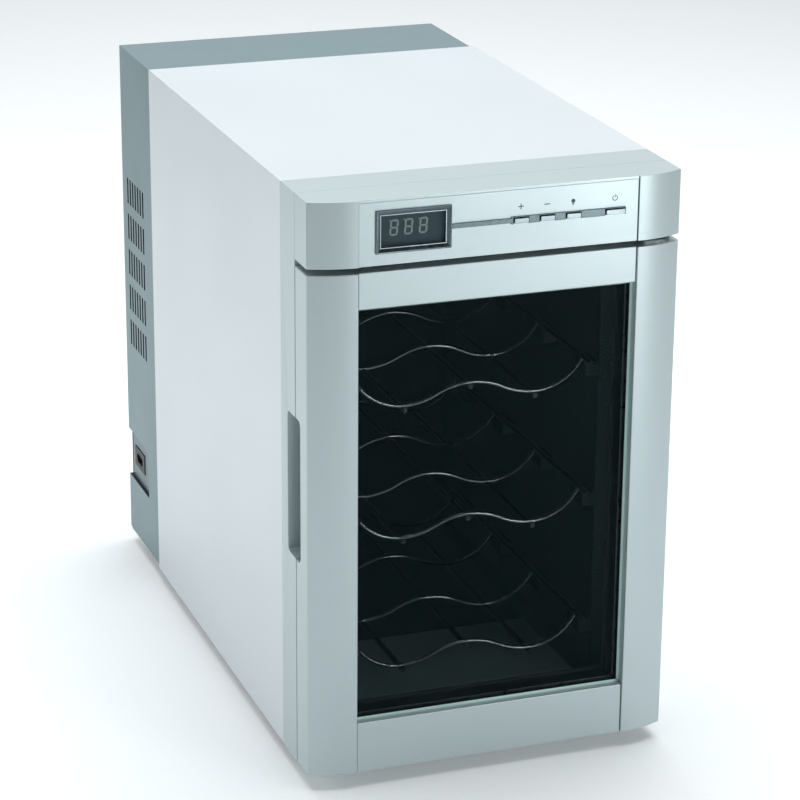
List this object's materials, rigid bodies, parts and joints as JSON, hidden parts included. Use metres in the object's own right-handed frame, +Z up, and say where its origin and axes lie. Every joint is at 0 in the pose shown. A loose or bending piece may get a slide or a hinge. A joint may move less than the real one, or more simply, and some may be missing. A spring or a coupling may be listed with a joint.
{
  "type": "wine cooler",
  "caption": "Small free-standing thermoelectric wine cooler: silver cabinet, glazed side-hinged door, wavy wire racks, control strip and vented rear casing.",
  "frame": {"origin": "on the ground, below the middle of the whole cooler", "axes": "+Z up, +Y to the back, +X to the right seen from the front; the door faces -Y"},
  "size_m": [0.25, 0.464, 0.398],
  "materials": {
    "shell_paint": "satin silver paint",
    "steel": "zinc plated",
    "rubber": "matt",
    "frame_plastic": "silver painted, satin",
    "silver_plastic": "silver metallic paint, satin",
    "liner_plastic": "matt black",
    "floor_plastic": "grey, smooth",
    "foam": "rigid foam",
    "casing_paint": "satin grey paint",
    "black_plastic": "moulded",
    "inlet_grey": "satin",
    "nickel": "bright",
    "aluminium": "extruded",
    "module_white": "ceramic plates",
    "board_green": "solder mask",
    "coil_tape": "taped winding",
    "chrome": "bright",
    "chrome_plastic": "bright plated",
    "smoke_lens": "smoked",
    "display_dark": "dark",
    "digit_pale": "pale, unlit",
    "lamp_white": "diffusing",
    "door_inner": "grey moulded",
    "door_glass": "tinted green grey",
    "spacer_dark": "dark anodised",
    "gasket": "soft grey",
    "bush_white": "nylon",
    "rack_chrome": "bright wire"
  },
  "bodies": {
    "cabinet": {"outer_shell": "shell_paint", "base_pan": "steel", "feet": "rubber", "front_frame": "frame_plastic", "inner_liner": "liner_plastic", "liner_collar": "liner_plastic", "shelf_lugs": "liner_plastic", "floor_plate": "floor_plastic", "foam_insulation": "foam", "rear_bulkhead": "steel", "rear_casing": "casing_paint", "rear_grille": "black_plastic", "inlet_plate": "inlet_grey", "power_inlet": "black_plastic", "inlet_pins": "nickel", "cold_fan_cover": "liner_plastic", "cold_fan_frame": "black_plastic", "cold_sink": "aluminium", "cold_block": "aluminium", "peltier_module": "module_white", "hot_sink": "aluminium", "hot_fan_frame": "black_plastic", "power_board": "board_green", "transformer": "coil_tape", "fascia_housing": "silver_plastic", "fascia_panel": "silver_plastic", "display_bezel": "chrome", "display_lens": "smoke_lens", "display_module": "display_dark", "display_digits": "digit_pale", "trim_strip": "chrome", "control_board": "board_green", "lamp_board": "board_green", "lamp_lens": "lamp_white", "top_hinge_plate": "steel", "bottom_hinge_plate": "steel", "top_hinge_pin": "steel", "bottom_hinge_pin": "steel", "casing_screws": "steel", "hinge_screws": "steel", "fan_screws": "steel"},
    "door": {"door_frame": "door_inner", "door_pillar_left": "silver_plastic", "door_pillar_right": "silver_plastic", "door_rail_top": "silver_plastic", "door_rail_bottom": "silver_plastic", "outer_pane": "door_glass", "inner_pane": "door_glass", "glass_spacer": "spacer_dark", "door_gasket": "gasket", "hinge_bushes": "bush_white"},
    "rack_top": {"rack_top": "rack_chrome"},
    "rack_middle": {"rack_middle": "rack_chrome"},
    "rack_bottom": {"rack_bottom": "rack_chrome"},
    "button_warmer": {"button_warmer": "chrome_plastic"},
    "button_cooler": {"button_cooler": "chrome_plastic"},
    "button_lamp": {"button_lamp": "chrome_plastic"},
    "button_power": {"button_power": "chrome_plastic"},
    "hot_fan": {"hot_fan_rotor": "black_plastic"},
    "cold_fan": {"cold_fan_rotor": "black_plastic"}
  },
  "joints": [
    {"name": "door_hinge", "type": "hinge", "parent": "cabinet", "child": "door", "pos_m": [0.118, -0.2125, 0.181], "axis": [0, 0, 1], "range_deg": [0, 115]},
    {"name": "rack_top_slide", "type": "slide", "parent": "cabinet", "child": "rack_top", "axis": [0, -1, 0], "range_m": [0, 0.012]},
    {"name": "rack_middle_slide", "type": "slide", "parent": "cabinet", "child": "rack_middle", "axis": [0, -1, 0], "range_m": [0, 0.012]},
    {"name": "rack_bottom_slide", "type": "slide", "parent": "cabinet", "child": "rack_bottom", "axis": [0, -1, 0], "range_m": [0, 0.012]},
    {"name": "button_warmer_press", "type": "slide", "parent": "cabinet", "child": "button_warmer", "axis": [0, 1, 0], "range_m": [0, 0.001], "stiffness_N_per_m": 400},
    {"name": "button_cooler_press", "type": "slide", "parent": "cabinet", "child": "button_cooler", "axis": [0, 1, 0], "range_m": [0, 0.001], "stiffness_N_per_m": 400},
    {"name": "button_lamp_press", "type": "slide", "parent": "cabinet", "child": "button_lamp", "axis": [0, 1, 0], "range_m": [0, 0.001], "stiffness_N_per_m": 400},
    {"name": "button_power_press", "type": "slide", "parent": "cabinet", "child": "button_power", "axis": [0, 1, 0], "range_m": [0, 0.001], "stiffness_N_per_m": 400},
    {"name": "hot_fan_spin", "type": "hinge", "parent": "cabinet", "child": "hot_fan", "pos_m": [0, 0.1885, 0.235], "axis": [0, 1, 0], "continuous": true},
    {"name": "cold_fan_spin", "type": "hinge", "parent": "cabinet", "child": "cold_fan", "pos_m": [0, 0.1075, 0.235], "axis": [0, 1, 0], "continuous": true}
  ]
}
